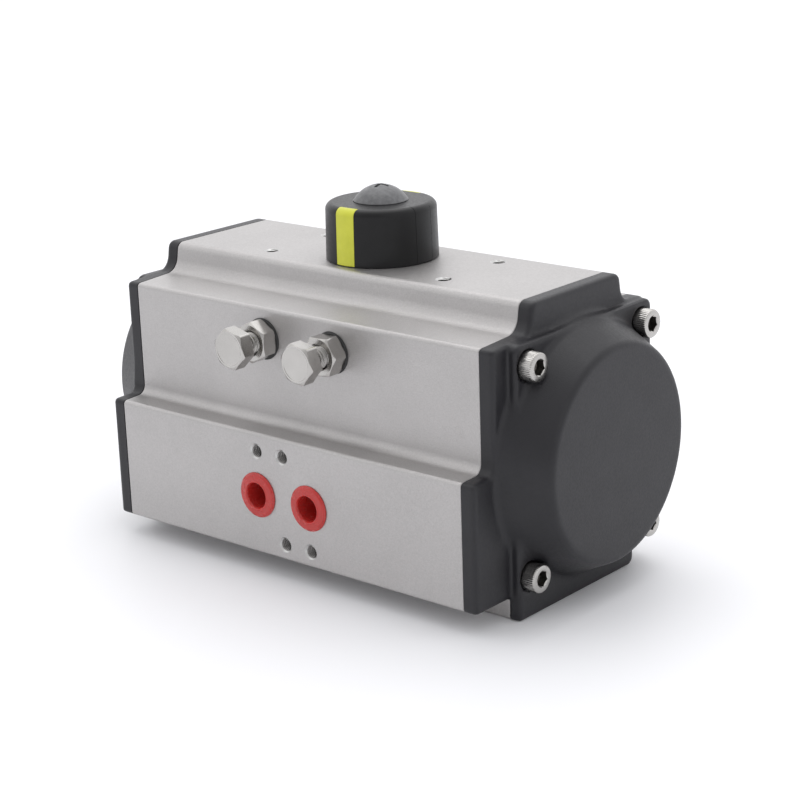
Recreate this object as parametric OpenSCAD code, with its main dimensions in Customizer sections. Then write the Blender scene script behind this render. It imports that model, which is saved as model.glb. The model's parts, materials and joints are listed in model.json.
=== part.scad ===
// Quarter-turn pneumatic rotary actuator: twin-piston rack and pinion, double acting, no springs.
// Millimetres. The origin is the centre of the bottom mounting pad, on the pinion's axis.
// +Z runs up the pinion, +X runs along the cylinder bore, and the air ports and stop screws face -Y.

/* [Body] */
// Length of the extruded body between its end faces
body_len = 158.4; // [156:0.2:164]
// Height from the mounting pad to the accessory face on top
body_h = 105; // [104:0.5:108]
// Diameter of the cylinder bore
bore_d = 72; // [71:0.5:72.5]
// Height of the bore's axis above the mounting pad
bore_z = 50.7; // [50.2:0.1:51.2]
// Aluminium around the bore at the back of the body
bore_wall = 8; // [7.5:0.5:9]
// How far the valve face stands in front of the pinion's axis
valve_face_y = 56.5; // [56:0.5:60]
// How far the upper front wall stands in front of the pinion's axis
upper_face_y = 45.8; // [45.6:0.2:46.6]

/* [End caps] */
// Thickness of the flange that follows the body's outline
cap_flange = 5.4; // [5.2:0.1:6]
// Extra thickness of the raised block around the dome
cap_block = 3.4; // [3:0.2:4]
// Length of the whole cap outside the body
cap_len = 22.3; // [21:0.1:25]
// Half the distance between the cap screws across the body
cap_screw_y = 32; // [31.5:0.1:32.2]
// Half the distance between the cap screws up the body
cap_screw_z = 36; // [35.6:0.1:36.2]

/* [Gear train] */
// Gear module of the rack and pinion
gear_module = 1.5; // [1.5:0.01:1.52]
// Number of teeth on the pinion
pinion_teeth = 18; // [18:1:18]
// Play between the teeth, measured along the pitch line
backlash = 0.3; // [0.25:0.05:0.4]

/* [Valve drive] */
// Across flats of the double-square socket in the pinion's foot
drive_af = 17; // [14:0.5:17]
// Depth of the socket
drive_depth = 19; // [17:0.5:19.5]

/* [Stop screws] */
// Distance of each stop screw from the pinion's axis
stop_x = 16; // [15.5:0.1:16.2]
// Height of the stop screws above the mounting pad
stop_z = 82.7; // [82.5:0.1:82.9]
// Across flats of the screw heads and lock nuts
hex_af = 13; // [12.5:0.5:13]
// Setting of the left screw: how far its head's face stands in front of the pinion's axis
stop_face_left = 62.9; // [62.6:0.1:63.5]
// Setting of the right screw
stop_face_right = 63.7; // [63.2:0.1:64]

/* [Position indicator] */
// Diameter of the indicator at its foot
indicator_d = 40; // [38:0.5:42]
// Height of the indicator's top above the mounting pad
indicator_top = 125.2; // [124.5:0.1:126]
// Width of the coloured flags
flag_w = 8; // [6:0.5:9]

/* [Hidden] */

$fn = 72;
EPS = 1;                    // how far a cutter runs past the face it opens
FILLET_STEPS = 6;           // flats in each rounded corner of an outline

// Colours
C_BODY = [0.76, 0.75, 0.73];
C_CAP = [0.25, 0.25, 0.26];
C_STEEL = [0.72, 0.72, 0.70];
C_DARK = [0.10, 0.10, 0.11];
C_SEAL = [0.07, 0.07, 0.07];
C_POM = [0.90, 0.89, 0.84];
C_FLAG = [0.78, 0.80, 0.32];
C_PLUG = [0.80, 0.22, 0.20];
C_CAST = [0.62, 0.63, 0.65];

// Body outline
pad_h = 7.7;                // height of the mounting pad
pad_front = -38;
pad_back = 31;
back_y = 40;
band_top = 52;              // shelf over the valve face
shelf_z = 93.8;             // shelf over the upper front wall
ridge_foot_z = 94.8;
ridge_foot_y = 26.1;
ridge_top_y = 24.5;
ridge_root_r = 5.7;         // sweep of the ridge's side into the shelf
pad_run_out = 4.3;          // how far the pad runs on under each end cap's flange
pad_gap = 0.1;
body_end = body_len / 2;
bore_r = bore_d / 2;

// Fasteners
m5_tap_r = 2.1;
m6_tap_r = 2.5;
m8_tap_r = 3.4;
m6_r = 3;
m8_r = 3.95;
thread_gap = 0.05;          // screw to its hole, all round
mouth_depth = 0.5;          // chamfer at a tapped hole's mouth
screw_head_r = 5;
screw_head_h = 6;
screw_chamfer = 0.5;
screw_socket_af = 5;
screw_socket_depth = 3;
screw_reach = 16;           // cap screw's length inside the body
screw_hole_spare = 2;       // hole past the cap screw's tip
spotface_r = 5.4;
spotface_x = body_end + cap_flange + 2.15;

// Interfaces
iso_f05_half = 17.68;       // half of the 50 mm circle's square pattern
iso_f05_depth = 10;
iso_f07_half = 24.75;       // half of the 70 mm circle's square pattern
iso_f07_depth = 13;
accessory_x = 40;
accessory_y = 15;
accessory_depth = 9;
port_x = 12;                // half of the 24 mm between ports
port_z = 29.4;
port_r = 5.9;
port_depth = 12;
valve_screw_dz = 16;        // half of the 32 mm between the valve's screw rows
valve_screw_depth = 8;

// Air passages
channel_y = -46.5;
channel_z = 39.3;
channel_r = 2.2;
cross_r = 1.5;
air_hole_r = 2.5;
air_hole_len = 20;

// Pistons and racks, at rest with the pistons together
piston_in_x = 38;
piston_t = 14;
piston_r = bore_r - 0.4;
rack_half_h = 14;
rack_end_x = -31;
rack_arm_r = bore_r - 0.7;
slide_gap = 0.05;           // running clearance of guide rings and bushes
shaft_gap = 0.06;           // pinion's journals to the body
seat_gap = 0.02;            // bushes to their seats
pitch_r = gear_module * pinion_teeth / 2;
tooth_pitch = gear_module * PI;
rack_addendum = 0.9 * gear_module;
dedendum = 1.25 * gear_module;
rack_root_y = pitch_r + dedendum;
rack_first_tooth = -6;
rack_last_tooth = 2;
pressure_angle = 20;
piston_ring_x = 42.5;       // middle of the guide ring
piston_ring_w = 4;
piston_ring_floor = bore_r - 1.8;
piston_seal_x = 48.4;
piston_seal_floor = bore_r - 2.7;
piston_seal_w = 2.9;
piston_seal_r = 1.25;
recess_depth = 6;           // lightening recess in the piston's outer face
recess_floor_r = 23;
recess_mouth_r = 25;
rack_pad_x = -26;
rack_pad_len = 20;
rack_pad_half_h = 9;
ring_split_w = 2;

// Pinion, from its foot upwards
pinion_foot_z = 0.8;
foot_journal_r = 15.5;
foot_seal_z = 4;
foot_bush_z = 6.6;
foot_bush_top = 14.2;
foot_bush_r = 17.5;
shaft_r = 14.5;
gear_z0 = 34;
gear_z1 = 68;
shoulder_r = 12;
cam_z0 = 79;
cam_z1 = 86.4;
cam_r = 20;
cam_hub_r = 13;
cam_seat_r = 10.9;          // corner radius of the octagonal seat
top_journal_r = 10;
pocket_z0 = 76;
pocket_z1 = 88.5;
pocket_r = 21;
top_bush_top = 95.8;
top_bush_r = 12;
top_seal_z = 100.3;
washer_z = body_h;
washer_t = 1.4;
backing_t = 1;
washer_r = 15;
backing_gap = 0.02;
foot_groove_depth = 2.4;
foot_groove_w = 2.8;
foot_seal_r = 1.15;
top_groove_depth = 2.1;
top_groove_w = 2.6;
top_seal_r = 1;
ring_groove_r = 8.9;
ring_t = 1.4;
ring_gap = 0.03;            // retaining ring to the sides of its groove
ring_wide = 3.6;
ring_open_w = 5;
ring_eye_r = 0.8;
ring_z = washer_z + washer_t + backing_t + 0.05;
stub_z = 110;
stub_r = 8;
stub_flat = 6.5;
stub_top = indicator_top - 2.5;
stub_tap_depth = 14;

// Stop screws
stop_tip_gap = 0.1;         // between a screw's tip and the cam at its end position
hex_head_h = 5.3;
nut_h = 6.3;
stop_washer_t = 0.5;
stop_washer_r = 7.4;
stop_washer_gap = 0.15;
stop_tip_right = 8.1;
stop_shank_len = stop_face_right - hex_head_h - stop_tip_right;
stop_tip_left = stop_face_left - hex_head_h - stop_shank_len;
stop_seal_r = 0.9;
stop_seat_r = 6;
stop_seat_depth = 2;
hex_bevel = 0.8;
hex_corner_gap = 0.1;

// ---------- helpers ----------

function unit(v) = v / norm(v);

// Points of the arc that rounds corner q between its neighbours p and s
function corner_arc(p, q, s, r) =
    let (
        u = unit(p - q),
        v = unit(s - q),
        half = acos(u * v) / 2,
        middle = q + unit(u + v) * r / sin(half),
        from = q + u * r / tan(half) - middle,
        to = q + v * r / tan(half) - middle,
        start = atan2(from.y, from.x),
        turn = atan2(cross(from, to), from * to)
    )
    [for (i = [0:FILLET_STEPS])
        middle + r * [cos(start + turn * i / FILLET_STEPS), sin(start + turn * i / FILLET_STEPS)]];

function flat(p) = [p.x, p.y];

// An outline whose corners are given as [x, y, radius]
function rounded(corners) =
    let (n = len(corners))
    [for (i = [0:n - 1])
        each corners[i][2] == 0
            ? [flat(corners[i])]
            : corner_arc(flat(corners[(i + n - 1) % n]), flat(corners[i]),
                         flat(corners[(i + 1) % n]), corners[i][2])];

// Extrudes an outline drawn in Y and Z along +X
module along_x(start, length) {
    translate([start, 0, 0]) rotate([90, 0, 90]) linear_extrude(length) children();
}

module rod_x(r, start, length, y = 0, z = 0) {
    translate([start, y, z]) rotate([0, 90, 0]) cylinder(r = r, h = length);
}

module rod_y(r, start, length, x, z) {
    translate([x, start, z]) rotate([-90, 0, 0]) cylinder(r = r, h = length);
}

module rod_z(r, start, length, x = 0, y = 0) {
    translate([x, y, start]) cylinder(r = r, h = length);
}

// Revolves an outline of [radius, x] about the bore's axis
module about_bore() {
    translate([0, 0, bore_z]) rotate([0, 90, 0]) rotate_extrude() children();
}

// A stop screw's own frame: +Z points out of the body along -Y, at the given side
module at_stop(side, y) {
    translate([side * stop_x, y, stop_z]) rotate([90, 0, 0]) children();
}

module torus(ring_r, section_r) {
    rotate_extrude() translate([ring_r, 0]) circle(r = section_r, $fn = 24);
}

module tube(r_out, r_in, start, length) {
    difference() {
        rod_z(r_out, start, length);
        rod_z(r_in, start - EPS, length + 2 * EPS);
    }
}

module left_right(side) {
    mirror([side < 0 ? 1 : 0, 0, 0]) children();
}

// ---------- body ----------

function body_outline() = rounded([
    [pad_front, 0, 1],
    [pad_back, 0, 1],
    [pad_back, pad_h, 1.5],
    [back_y, pad_h, 4],
    [back_y, shelf_z + 0.4, 4],
    [ridge_foot_y, ridge_foot_z, ridge_root_r],
    [ridge_top_y, body_h, 3],
    [-ridge_top_y, body_h, 3],
    [-ridge_foot_y, ridge_foot_z, ridge_root_r],
    [-upper_face_y, shelf_z, 1.5],
    [-upper_face_y, band_top + 0.4, 3.5],
    [-valve_face_y, band_top, 1.5],
    [-valve_face_y, pad_h, 1.2],
    [pad_front, pad_h, 1.5],
]);

module body_prism(start, length) {
    along_x(start, length) polygon(body_outline());
    rod_x(bore_r + bore_wall, start, length, 0, bore_z);
}

// A tapped hole with a light chamfer, drilled down from its mouth at z = 0
module tapped_hole(r, depth) {
    translate([0, 0, -depth]) cylinder(r = r, h = depth + EPS);
    translate([0, 0, -mouth_depth]) cylinder(r1 = r, r2 = r + 0.6, h = mouth_depth + 0.1);
}

// The mounting pad alone, which runs on past both ends of the body
module long_pad() {
    along_x(-body_end - pad_run_out, body_len + 2 * pad_run_out) polygon(rounded([
        [pad_front, 0, 1],
        [pad_back, 0, 1],
        [pad_back, pad_h, 0],
        [pad_front, pad_h, 0],
    ]));
}

module square_pattern(half_x, half_y) {
    for (sx = [-1, 1], sy = [-1, 1]) translate([sx * half_x, sy * half_y, 0]) children();
}

module on_valve_face(x, z) {
    translate([x, -valve_face_y, z]) rotate([90, 0, 0]) children();
}

module cap_screw_holes(r, start, length) {
    for (sy = [-1, 1], sz = [-1, 1]) rod_x(r, start, length, sy * cap_screw_y, bore_z + sz * cap_screw_z);
}

module body() {
    color(C_BODY) difference() {
        union() {
            body_prism(-body_end, body_len);
            long_pad();
        }
        rod_x(bore_r, -body_end - EPS, body_len + 2 * EPS, 0, bore_z);

        // pinion's holes, bush seats and the pocket for the stop cam
        rod_z(foot_journal_r + shaft_gap, -EPS, bore_z);
        rod_z(foot_bush_r + seat_gap, foot_bush_z, bore_z - foot_bush_z);
        rod_z(pocket_r, pocket_z0, pocket_z1 - pocket_z0);
        rod_z(top_bush_r + seat_gap, pocket_z1 - EPS, top_bush_top + 0.05 - pocket_z1 + EPS);
        rod_z(top_journal_r + shaft_gap, bore_z, body_h);

        // end cap screws
        for (side = [-1, 1]) left_right(side)
            cap_screw_holes(m6_r + thread_gap, body_end - screw_reach - screw_hole_spare,
                            screw_reach + screw_hole_spare + EPS);

        // mounting pad and accessory face
        mirror([0, 0, 1]) square_pattern(iso_f05_half, iso_f05_half) tapped_hole(m6_tap_r, iso_f05_depth);
        mirror([0, 0, 1]) square_pattern(iso_f07_half, iso_f07_half) tapped_hole(m8_tap_r, iso_f07_depth);
        translate([0, 0, body_h]) square_pattern(accessory_x, accessory_y)
            tapped_hole(m5_tap_r, accessory_depth);

        // valve face: two ports and four screw holes
        for (sx = [-1, 1]) on_valve_face(sx * port_x, port_z) tapped_hole(port_r, port_depth);
        on_valve_face(-port_x, port_z + valve_screw_dz) tapped_hole(m5_tap_r, valve_screw_depth);
        on_valve_face(0, port_z + valve_screw_dz) tapped_hole(m5_tap_r, valve_screw_depth);
        on_valve_face(0, port_z - valve_screw_dz) tapped_hole(m5_tap_r, valve_screw_depth);
        on_valve_face(port_x, port_z - valve_screw_dz) tapped_hole(m5_tap_r, valve_screw_depth);

        // port A opens between the pistons, port B feeds both ends through the long channel
        rod_y(air_hole_r, -valve_face_y + port_depth - EPS, air_hole_len, -port_x, port_z);
        rod_x(channel_r, -body_end - EPS, body_len + 2 * EPS, channel_y, channel_z);
        rod_z(channel_r, port_z, channel_z - port_z, port_x, channel_y);

        // stop screws
        for (side = [-1, 1]) {
            at_stop(side, 0) cylinder(r = m8_r + thread_gap, h = upper_face_y + EPS);
            at_stop(side, -upper_face_y + stop_seat_depth)
                cylinder(r = stop_seat_r, h = stop_seat_depth + EPS);
        }
    }
}

// ---------- end caps ----------

cap_end = body_end + cap_len;
block_end = body_end + cap_flange + cap_block;
dome_r = bore_r + bore_wall;
dome_draft = 6.6;           // how much the dome's radius shrinks towards its face
dome_edge_r = 1.3;
spigot_len = 4.5;
spigot_r = bore_r - 0.15;
cap_seal_x = body_end - 2.2;
cap_seal_w = 2.7;
cap_seal_floor = bore_r - 2.6;
cap_seal_r = 1.2;
transfer_seal_ring = 4.2;
transfer_seal_r = 0.65;
transfer_groove = 1.4;
transfer_groove_half_w = 0.8;
cap_wall = 5;
hollow_draft = 1.5;
cap_hole_gap = 0.3;
cross_len = 21;
block_front_y = -38.3;
block_back_y = 38.3;
block_pad_back_y = 27.5;

function block_outline() = rounded([
    [block_front_y, 0, 1.5],
    [block_pad_back_y, 0, 3],
    [block_pad_back_y, pad_h, 1.5],
    [block_back_y, pad_h, 3],
    [block_back_y, shelf_z + 0.4, 3],
    [block_front_y, shelf_z + 0.4, 3],
]);

function dome_outline() = rounded([
    [0, body_end + 3, 0],
    [dome_r, body_end + 3, 0],
    [dome_r, block_end, 0],
    [dome_r - dome_draft, cap_end, dome_edge_r],
    [0, cap_end, 0],
]);

module end_cap(side) {
    color(C_CAP) left_right(side) difference() {
        union() {
            body_prism(body_end, cap_flange);
            along_x(body_end + cap_flange - EPS, cap_block + EPS) polygon(block_outline());
            about_bore() polygon(dome_outline());
            rod_x(spigot_r, body_end - spigot_len, spigot_len + EPS, 0, bore_z);
        }
        // hollow that the piston's face looks into
        about_bore() polygon([
            [0, body_end - spigot_len - EPS],
            [bore_r - cap_wall, body_end - spigot_len - EPS],
            [bore_r - cap_wall - hollow_draft, cap_end - cap_wall],
            [0, cap_end - cap_wall],
        ]);
        // room for the end of the mounting pad
        translate([body_end - EPS, pad_front - pad_gap, -EPS])
            cube([pad_run_out + pad_gap + EPS, pad_back - pad_front + 2 * pad_gap, pad_h + pad_gap + EPS]);
        // groove for the seal on the spigot
        translate([cap_seal_x, 0, bore_z]) rotate([0, 90, 0]) translate([0, 0, -cap_seal_w / 2])
            tube(bore_r + EPS, cap_seal_floor, 0, cap_seal_w);
        cap_screw_holes(m6_r + cap_hole_gap, body_end - EPS, cap_len);
        cap_screw_holes(spotface_r, spotface_x, cap_len);
        // air passage from the body's channel into the hollow, with its seal groove
        rod_x(channel_r, body_end - EPS, cap_flange / 2 + EPS, channel_y, channel_z);
        rod_y(cross_r, channel_y, cross_len, body_end + cap_flange / 2, channel_z);
        translate([body_end, channel_y, channel_z]) rotate([0, 90, 0]) translate([0, 0, -EPS])
            tube(transfer_seal_ring + transfer_groove_half_w, transfer_seal_ring - transfer_groove_half_w,
                 0, transfer_groove + EPS);
    }
}

module end_cap_seal(side) {
    color(C_SEAL) left_right(side) translate([cap_seal_x, 0, bore_z]) rotate([0, 90, 0])
        torus(cap_seal_floor + cap_seal_r + 0.1, cap_seal_r);
}

module transfer_seal(side) {
    color(C_SEAL) left_right(side)
        translate([body_end + transfer_groove / 2, channel_y, channel_z]) rotate([0, 90, 0])
            torus(transfer_seal_ring, transfer_seal_r);
}

// Socket head screw lying along +X with its head's seat at x = 0
module cap_screw() {
    rotate([0, 90, 0]) difference() {
        union() {
            cylinder(r = screw_head_r, h = screw_head_h - screw_chamfer);
            translate([0, 0, screw_head_h - screw_chamfer])
                cylinder(r1 = screw_head_r, r2 = screw_head_r - screw_chamfer, h = screw_chamfer);
            translate([0, 0, -(spotface_x - body_end) - screw_reach])
                cylinder(r = m6_r, h = spotface_x - body_end + screw_reach + EPS);
        }
        translate([0, 0, screw_head_h - screw_socket_depth])
            cylinder(d = screw_socket_af / cos(30), h = screw_socket_depth + EPS, $fn = 6);
    }
}

module cap_screws(side) {
    color(C_STEEL) left_right(side) for (sy = [-1, 1], sz = [-1, 1])
        translate([spotface_x, sy * cap_screw_y, bore_z + sz * cap_screw_z]) cap_screw();
}

// ---------- pistons ----------

// The left piston is the right one turned half round about the pinion
module piston_side(side) {
    rotate([0, 0, side < 0 ? 180 : 0]) children();
}

// One rack tooth, on a rack whose pitch line is y = -pitch_r and whose teeth point to +Y
module rack_tooth() {
    half = tooth_pitch / 4 - backlash / 4;
    slope = tan(pressure_angle);
    polygon([
        [-half - dedendum * slope, -rack_root_y],
        [-half - dedendum * slope, -rack_root_y - 1],
        [half + dedendum * slope, -rack_root_y - 1],
        [half + dedendum * slope, -rack_root_y],
        [half - rack_addendum * slope, -pitch_r + rack_addendum],
        [-half + rack_addendum * slope, -pitch_r + rack_addendum],
    ]);
}

module rack_arm() {
    intersection() {
        translate([rack_end_x, -bore_r, bore_z - rack_half_h])
            cube([piston_in_x - rack_end_x + EPS, bore_r - rack_root_y, 2 * rack_half_h]);
        rod_x(rack_arm_r, rack_end_x, piston_in_x - rack_end_x + EPS, 0, bore_z);
    }
    translate([0, 0, bore_z - rack_half_h]) linear_extrude(2 * rack_half_h)
        for (i = [rack_first_tooth:rack_last_tooth]) translate([i * tooth_pitch, 0]) rack_tooth();
}

// Curved pad let into the back of the rack, as a block of the given size and radii
module rack_pad(gap, r_in, r_out) {
    intersection() {
        translate([rack_pad_x - gap, -bore_r - EPS, bore_z - rack_pad_half_h - gap])
            cube([rack_pad_len + 2 * gap, bore_r / 2, 2 * (rack_pad_half_h + gap)]);
        translate([rack_pad_x - gap, 0, bore_z]) rotate([0, 90, 0])
            tube(r_out, r_in, 0, rack_pad_len + 2 * gap);
    }
}

module piston(side) {
    color(C_CAST) piston_side(side) difference() {
        union() {
            rod_x(piston_r, piston_in_x, piston_t, 0, bore_z);
            rack_arm();
        }
        // lightening recess in the outer face
        about_bore() polygon([
            [0, piston_in_x + piston_t - recess_depth],
            [recess_floor_r, piston_in_x + piston_t - recess_depth],
            [recess_mouth_r, piston_in_x + piston_t + EPS],
            [0, piston_in_x + piston_t + EPS],
        ]);
        translate([piston_ring_x - piston_ring_w / 2 - slide_gap, 0, bore_z]) rotate([0, 90, 0])
            tube(bore_r + EPS, piston_ring_floor, 0, piston_ring_w + 2 * slide_gap);
        translate([piston_seal_x - piston_seal_w / 2, 0, bore_z]) rotate([0, 90, 0])
            tube(bore_r + EPS, piston_seal_floor, 0, piston_seal_w);
        rack_pad(slide_gap, piston_ring_floor - 0.7, bore_r + EPS);
    }
}

module piston_o_ring(side) {
    color(C_SEAL) piston_side(side) translate([piston_seal_x, 0, bore_z]) rotate([0, 90, 0])
        torus(piston_seal_floor + piston_seal_r + 0.05, piston_seal_r);
}

module piston_guide_ring(side) {
    color(C_POM) piston_side(side) difference() {
        translate([piston_ring_x - piston_ring_w / 2, 0, bore_z]) rotate([0, 90, 0])
            tube(bore_r - slide_gap, piston_ring_floor + slide_gap, 0, piston_ring_w);
        // the split that lets the ring be sprung into its groove
        translate([piston_ring_x - piston_ring_w, -ring_split_w / 2, bore_z + piston_ring_floor - EPS])
            cube([2 * piston_ring_w, ring_split_w, bore_r]);
    }
}

module rack_guide(side) {
    color(C_POM) piston_side(side) rack_pad(0, piston_ring_floor - 0.6, bore_r - slide_gap);
}

// ---------- pinion ----------

base_r = pitch_r * cos(pressure_angle);
gear_outer_r = pitch_r + 0.95 * gear_module;
gear_root_r = pitch_r - dedendum;
FLANK_STEPS = 4;

// Involute angle at radius r
function involute(r) =
    let (a = acos(min(1, base_r / r)))
    tan(a) * 180 / PI - a;

function polar(r, a) = [r * cos(a), r * sin(a)];

// Half a tooth's angle at radius r
half_tooth = 90 / pinion_teeth - backlash / 4 / pitch_r * 180 / PI;
function half_angle(r) = half_tooth + involute(pitch_r) - involute(r);
function flank_r(i) = base_r + (gear_outer_r - base_r) * i / FLANK_STEPS;

function tooth_points(a) = concat(
    [polar(gear_root_r, a - half_angle(base_r))],
    [for (i = [0:FLANK_STEPS]) polar(flank_r(i), a - half_angle(flank_r(i)))],
    [for (i = [FLANK_STEPS:-1:0]) polar(flank_r(i), a + half_angle(flank_r(i)))],
    [polar(gear_root_r, a + half_angle(base_r))]
);

module gear_outline() {
    polygon([for (i = [0:pinion_teeth - 1]) each tooth_points(i * 360 / pinion_teeth)]);
}

module octagon_prism(corner_r, start, length) {
    translate([0, 0, start]) rotate([0, 0, 22.5]) cylinder(r = corner_r, h = length, $fn = 8);
}

module drive_socket() {
    for (a = [0, 45]) rotate([0, 0, a])
        translate([-drive_af / 2, -drive_af / 2, pinion_foot_z - EPS])
            cube([drive_af, drive_af, drive_depth + EPS]);
}

module groove(r_wall, floor_r, z, width) {
    tube(r_wall + EPS, floor_r, z - width / 2, width);
}

module pinion() {
    color(C_STEEL) difference() {
        union() {
            rod_z(foot_journal_r, pinion_foot_z, foot_bush_top - pinion_foot_z + 0.3);
            rod_z(shaft_r, foot_bush_top, gear_z0 - foot_bush_top);
            translate([0, 0, gear_z0 - EPS]) linear_extrude(gear_z1 - gear_z0 + EPS) gear_outline();
            rod_z(shoulder_r, gear_z1 - EPS, cam_z0 - gear_z1 + EPS);
            octagon_prism(cam_seat_r, cam_z0 - EPS, cam_z1 - cam_z0 + EPS);
            rod_z(top_journal_r, cam_z1 - EPS, stub_z - cam_z1 + EPS);
            intersection() {
                rod_z(stub_r, stub_z - EPS, stub_top - stub_z + EPS);
                translate([-stub_r, -stub_flat, stub_z - EPS])
                    cube([2 * stub_r, 2 * stub_flat, stub_top - stub_z + EPS]);
            }
        }
        drive_socket();
        groove(foot_journal_r, foot_journal_r - foot_groove_depth, foot_seal_z, foot_groove_w);
        groove(top_journal_r, top_journal_r - top_groove_depth, top_seal_z, top_groove_w);
        tube(top_journal_r + EPS, ring_groove_r, ring_z - ring_gap, ring_t + 2 * ring_gap);
        rod_z(m6_r + thread_gap, stub_top - stub_tap_depth, stub_tap_depth + EPS);
    }
}

// Two flats meet the stop screws a quarter turn apart
module stop_cam() {
    color(C_DARK) difference() {
        union() {
            intersection() {
                rod_z(cam_r, cam_z0, cam_z1 - cam_z0);
                translate([stop_tip_gap - stop_tip_left, stop_tip_gap - stop_tip_right, cam_z0])
                    cube([2 * cam_r, 2 * cam_r, cam_z1 - cam_z0]);
            }
            rod_z(cam_hub_r, cam_z0, cam_z1 - cam_z0);
        }
        octagon_prism(cam_seat_r + thread_gap, cam_z0 - EPS, cam_z1 - cam_z0 + 2 * EPS);
    }
}

module pinion_bearing_bottom() {
    color(C_POM) tube(foot_bush_r, foot_journal_r + slide_gap, foot_bush_z, foot_bush_top - foot_bush_z);
}

module pinion_bearing_top() {
    color(C_POM) tube(top_bush_r, top_journal_r + slide_gap, pocket_z1, top_bush_top - pocket_z1);
}

module pinion_o_ring_bottom() {
    color(C_SEAL) translate([0, 0, foot_seal_z]) torus(foot_journal_r - foot_seal_r - seat_gap, foot_seal_r);
}

module pinion_o_ring_top() {
    color(C_SEAL) translate([0, 0, top_seal_z]) torus(top_journal_r - top_seal_r - seat_gap, top_seal_r);
}

module thrust_washer() {
    color(C_POM) tube(washer_r, top_journal_r + 0.1, washer_z, washer_t);
}

module backing_washer() {
    color(C_STEEL) tube(washer_r, top_journal_r + slide_gap, washer_z + washer_t + backing_gap, backing_t);
}

module retaining_ring() {
    color(C_STEEL) difference() {
        tube(ring_groove_r + ring_wide, ring_groove_r + thread_gap, ring_z, ring_t);
        // the open side, with a plier hole on each side of it
        translate([0, -ring_open_w / 2, ring_z - EPS])
            cube([washer_r, ring_open_w, ring_t + 2 * EPS]);
        for (sy = [-1, 1])
            rod_z(ring_eye_r, ring_z - EPS, ring_t + 2 * EPS, ring_groove_r + ring_eye_r, sy * 4.4);
    }
}

// ---------- position indicator ----------

indicator_z = body_h + 0.3; // stands just clear of the body's top
indicator_r = indicator_d / 2;
indicator_taper = 0.4;
indicator_wall = 2.7;
indicator_edge_r = 2.5;
hub_wall = 2.5;
flag_gap = 0.05;
flag_depth = 1.1;
flag_reach = 3.5;           // how far a flag folds over the top edge

// Solid indicator shape, made smaller all over by inset
module indicator_form(inset) {
    rotate_extrude() polygon(rounded([
        [0, indicator_z - (inset > 0 ? EPS : 0), 0],
        [indicator_r - inset, indicator_z - (inset > 0 ? EPS : 0), 0],
        [indicator_r - indicator_taper - inset, indicator_top - inset, indicator_edge_r - inset / 2],
        [0, indicator_top - inset, 0],
    ]));
}

// The skin of the indicator under the flag that points along angle a
module flag_shape(a, gap) {
    intersection() {
        difference() {
            indicator_form(0);
            indicator_form(flag_depth + gap);
        }
        rotate([0, 0, a])
            translate([indicator_r - flag_reach - gap, -flag_w / 2 - gap, indicator_z - EPS])
                cube([flag_reach + 2 * gap + EPS, flag_w + 2 * gap, indicator_top]);
    }
}

module indicator_cap() {
    color(C_DARK) difference() {
        indicator_form(0);
        difference() {
            indicator_form(indicator_wall);
            rod_z(stub_r + hub_wall, stub_z, indicator_top);
        }
        // hub that fits over the pinion's flats
        intersection() {
            rod_z(stub_r + slide_gap, indicator_z - EPS, stub_top - indicator_z + EPS);
            translate([-indicator_r, -stub_flat - slide_gap, indicator_z - EPS])
                cube([indicator_d, 2 * (stub_flat + slide_gap), indicator_top]);
        }
        rod_z(m6_r + cap_hole_gap, stub_top - EPS, indicator_top - stub_top + 2 * EPS);
        for (a = [0:90:270]) flag_shape(a, flag_gap);
    }
}

module indicator_flag(a) {
    color(C_FLAG) flag_shape(a, 0);
}

module indicator_blank(a) {
    color(C_DARK) flag_shape(a, 0);
}

screw_dome_r = 9.8;
screw_dome_h = 5.7;
dome_shank_len = 11;        // reach of the screw into the pinion's stub
slot_len = 8;
slot_w = 1.4;
slot_depth = 2.5;
slot_turn = 10;

module indicator_screw() {
    ball_r = (screw_dome_r * screw_dome_r + screw_dome_h * screw_dome_h) / (2 * screw_dome_h);
    color(C_DARK) difference() {
        union() {
            intersection() {
                translate([0, 0, indicator_top + screw_dome_h - ball_r]) sphere(r = ball_r);
                rod_z(screw_dome_r, indicator_top, screw_dome_h + EPS);
            }
            rod_z(m6_r, stub_top - dome_shank_len, indicator_top - stub_top + dome_shank_len + EPS);
        }
        for (a = [0, 90]) rotate([0, 0, a + slot_turn])
            translate([-slot_len / 2, -slot_w / 2, indicator_top + screw_dome_h - slot_depth])
                cube([slot_len, slot_w, slot_depth + EPS]);
    }
}

// ---------- stop screws ----------

// Hexagon with chamfered corners, from z = 0 to z = h; bottom chamfer only where both is true
module hex_block(h, angle, both) {
    corner_r = hex_af / 2 / cos(30);
    face_r = hex_af / 2 - hex_corner_gap;
    lathe_r = corner_r + hex_corner_gap;
    intersection() {
        rotate([0, 0, angle]) cylinder(r = corner_r, h = h, $fn = 6);
        rotate_extrude() polygon([
            [0, 0],
            each both ? [[face_r, 0], [lathe_r, hex_bevel]] : [[lathe_r, 0]],
            [lathe_r, h - hex_bevel],
            [face_r, h],
            [0, h],
        ]);
    }
}

module stop_screw(side, face, angle) {
    color(C_STEEL) at_stop(side, -face + hex_head_h) {
        hex_block(hex_head_h, angle, false);
        translate([0, 0, -stop_shank_len]) cylinder(r = m8_r, h = stop_shank_len + EPS);
    }
}

module lock_nut(side, angle) {
    color(C_STEEL) at_stop(side, -upper_face_y - stop_washer_t) difference() {
        hex_block(nut_h, angle, true);
        translate([0, 0, -EPS]) cylinder(r = m8_r + thread_gap, h = nut_h + 2 * EPS);
        translate([0, 0, nut_h - mouth_depth])
            cylinder(r1 = m8_r, r2 = m8_r + 0.7, h = mouth_depth + 0.1);
    }
}

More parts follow.
